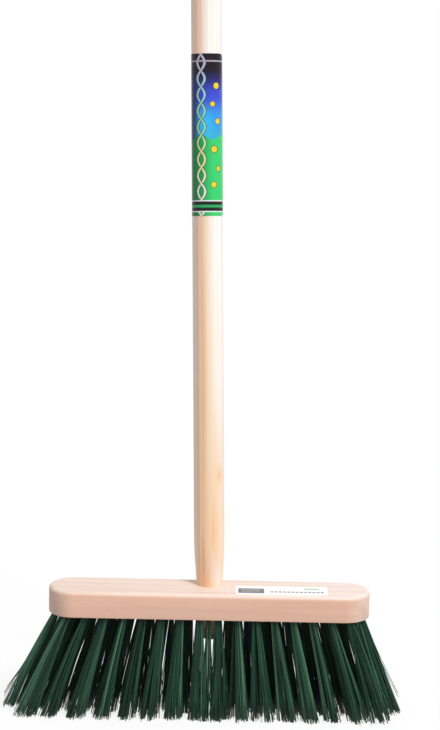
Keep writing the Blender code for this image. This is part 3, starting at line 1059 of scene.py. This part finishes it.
def label_finish(bar):
    """White label paper with a dark block, plain bars and a row of dashes."""
    finish, tree, shader = start_material("label_paper", {"Roughness": 0.5})
    place = node(tree, "TexCoord").outputs["Object"]
    flat = node(
        tree, "Mapping", {"Vector": place, "Location": LABEL_MIDDLE}, vector_type="TEXTURE"
    ).outputs[0]
    flat = calc_vector(tree, "MULTIPLY", flat, (1, 1, 0))
    fibre = noise(tree, flat, (900, 900, 1), 3.0)
    color = mix(tree, fibre, (0.90, 0.90, 0.88, 1), (0.97, 0.97, 0.96, 1))

    # Each bar: its middle and half its size in millimetres from the label's middle, and its tint
    bars = [
        ((-28.5, -2), (12, 7), (0.16, 0.15, 0.18, 1)),
        ((-28.5, 0.8), (9, 1.4), (0.40, 0.43, 0.34, 1)),
        ((-28.5, -5), (9, 1.0), (0.34, 0.34, 0.36, 1)),
        ((28, 6), (7, 1.6), (0.36, 0.60, 0.38, 1)),
    ]
    bars += [((-9 + 3.9 * i, -4), (1.4, 1.6), (0.24, 0.24, 0.30, 1)) for i in range(13)]
    for middle, half, tint in bars:
        color = stain(tree, color, tint, bar, {
            "Place": flat,
            "Middle": Vector((*middle, 0)) * MM,
            "Half size": Vector((*half, 0)) * MM,
            "Round": 0.8 * MM,
        })
    feed(tree, shader, {"Base Color": color})
    bump(tree, shader, fibre, 0.15, 0.05 * MM)
    return finish


def filament_finish():
    """Green plastic filament: each has its own tone, the centre row's darkened as painted shade, and
    the trimmed tips are a little paler, partly from wear and partly as painted light shining through
    them.
    """
    finish, tree, shader = start_material("green_filament", {"Specular IOR Level": 0.22})
    tone = node(tree, "Attribute", attribute_name="tone").outputs["Fac"]
    along = node(tree, "Attribute", attribute_name="along").outputs["Fac"]
    color = ramp(tree, tone, (
        (0.0, (0.006, 0.020, 0.013, 1)),
        (0.5, (0.028, 0.090, 0.058, 1)),
        (1.0, (0.125, 0.285, 0.198, 1)),
    ))
    # The tips are paler partly from wear and partly as painted light shining through them
    tip_wear_and_painted_glow = ease(tree, along, 0.93, 1.0, 0.0, 0.3)
    color = mix(tree, tip_wear_and_painted_glow, color, (0.07, 0.22, 0.13, 1))
    feed(tree, shader, {"Base Color": color, "Roughness": ease(tree, tone, 0.0, 1.0, 0.30, 0.5)})
    return finish


def background_rays(tree):
    """Gives 1 for the rays that should see a white background, and 0 for those that light."""
    path = node(tree, "LightPath")
    seen = calc(tree, "ADD", path.outputs["Is Camera Ray"], path.outputs["Is Glossy Ray"])
    return calc(tree, "ADD", seen, path.outputs["Is Transmission Ray"], clamp=True)


def make_floor():
    """A white floor that keeps a faint shadow of the broom."""
    bpy.ops.mesh.primitive_plane_add(size=FLOOR_SIZE, location=(0, 0, 0))
    floor = bpy.context.object
    floor.name = "floor"
    finish, tree, shader = start_material(
        "white_floor", {"Roughness": 0.9, "Specular IOR Level": 0}
    )
    seen = background_rays(tree)
    color = mix(tree, seen, (0.38, 0.38, 0.38, 1), (0.95, 0.95, 0.95, 1))
    feed(tree, shader, {"Base Color": color})
    white = node(tree, "Emission", {"Color": (1, 1, 1, 1), "Strength": 1.0})
    share = calc(tree, "MULTIPLY", seen, FLOOR_WHITE_SHARE)
    both = node(tree, "MixShader", {0: share, 1: shader.outputs[0], 2: white.outputs[0]})
    feed(tree, tree.nodes["Material Output"], {"Surface": both.outputs[0]})
    floor.data.materials.append(finish)
    deselect()


def light_studio():
    """White surroundings of plain strength and one soft lamp from the upper right front."""
    world = bpy.data.worlds.new("studio")
    world.use_nodes = True
    bpy.context.scene.world = world
    tree = world.node_tree
    soft = tree.nodes["Background"]
    feed(tree, soft, {"Color": (1, 1, 1, 1), "Strength": SURROUND_STRENGTH})
    white = node(tree, "Background", {"Color": (1, 1, 1, 1), "Strength": 1.0})
    seen = background_rays(tree)
    both = node(tree, "MixShader", {0: seen, 1: soft.outputs[0], 2: white.outputs[0]})
    feed(tree, tree.nodes["World Output"], {"Surface": both.outputs[0]})

    key = bpy.data.lights.new("key", "SUN")
    key.energy = LAMP_STRENGTH
    key.angle = LAMP_SOFTNESS
    lamp = bpy.data.objects.new("key", key)
    towards = Vector((
        sin(LAMP_AZIMUTH) * cos(LAMP_HEIGHT),
        -cos(LAMP_AZIMUTH) * cos(LAMP_HEIGHT),
        sin(LAMP_HEIGHT),
    ))
    lamp.rotation_euler = towards.to_track_quat("Z", "Y").to_euler()
    bpy.context.collection.objects.link(lamp)


def place_camera():
    """A camera set square to the leaning handle just below the film, and aimed so that its picture
    is framed as the photograph."""
    out = Vector((0, -cos(HANDLE_LEAN), sin(HANDLE_LEAN)))
    level = Vector((1, 0, 0))
    right = level * cos(VIEW_ROLL) + out.cross(level) * sin(VIEW_ROLL)
    aside = right * (PHOTO_WIDTH / 2 - AXIS_PIXEL_X) / PIXELS_PER_METRE
    aim_height = (SEAT_PIXEL_Y - PHOTO_HEIGHT / 2) / PIXELS_PER_METRE
    square_height = (SEAT_PIXEL_Y - SQUARE_PIXEL_Y) / PIXELS_PER_METRE
    aim = HANDLE_PLACE @ Vector((0, 0, aim_height)) + aside
    place = HANDLE_PLACE @ Vector((0, 0, square_height)) + aside + out * VIEW_DISTANCE
    back = (place - aim).normalized()
    up = back.cross(right).normalized()
    right = up.cross(back)
    camera = bpy.data.cameras.new("camera")
    camera.sensor_width = SENSOR_SIZE
    camera.lens = SENSOR_SIZE * (place - aim).length * PIXELS_PER_METRE / PHOTO_HEIGHT
    stand = bpy.data.objects.new("camera", camera)
    turn = Matrix((right, up, back)).transposed().to_4x4()
    stand.matrix_world = Matrix.Translation(place) @ turn
    bpy.context.collection.objects.link(stand)
    bpy.context.scene.camera = stand
    bpy.context.scene.view_settings.view_transform = "Standard"


def add_body():
    """The head, the handle, the film and the label."""
    grain = wood_grain_group()
    spot = spot_group()
    bar = bar_group()
    film_look = film_finish(bar, spot, ribbon_group())
    dress(make_head(), "beech_head", beech_finish(grain), "beech_block", "block")
    dress(make_handle(), "pine_handle", pine_finish(grain, spot), "pine_handle", "handle")
    dress(make_film(), "printed_film", film_look, "printed_film", "handle_sleeve")
    dress(make_label(), "paper_label", label_finish(bar), "label_paper", "head_label")


def add_bristles():
    """Every tuft of filaments, with a few strays on the outermost two."""
    filament = model_filament()
    filament_look = filament_finish()
    chance = random.Random(FILAMENT_SEED)
    for name, x, y, thin in tuft_places():
        strands, tones = tuft_strands(x, y, thin, chance)
        if is_outermost(x):
            strays, stray_tones = end_strays(x, y, chance)
            strands += strays
            tones += stray_tones
        tuft = build_tuft("bristles_" + name, filament, strands, tones)
        dress(tuft, "bristles_" + name, filament_look, "bristle", "tuft_" + name)
    bpy.data.objects.remove(filament, do_unlink=True)


deselect()
place_camera()
light_studio()
make_floor()
add_body()
add_bristles()
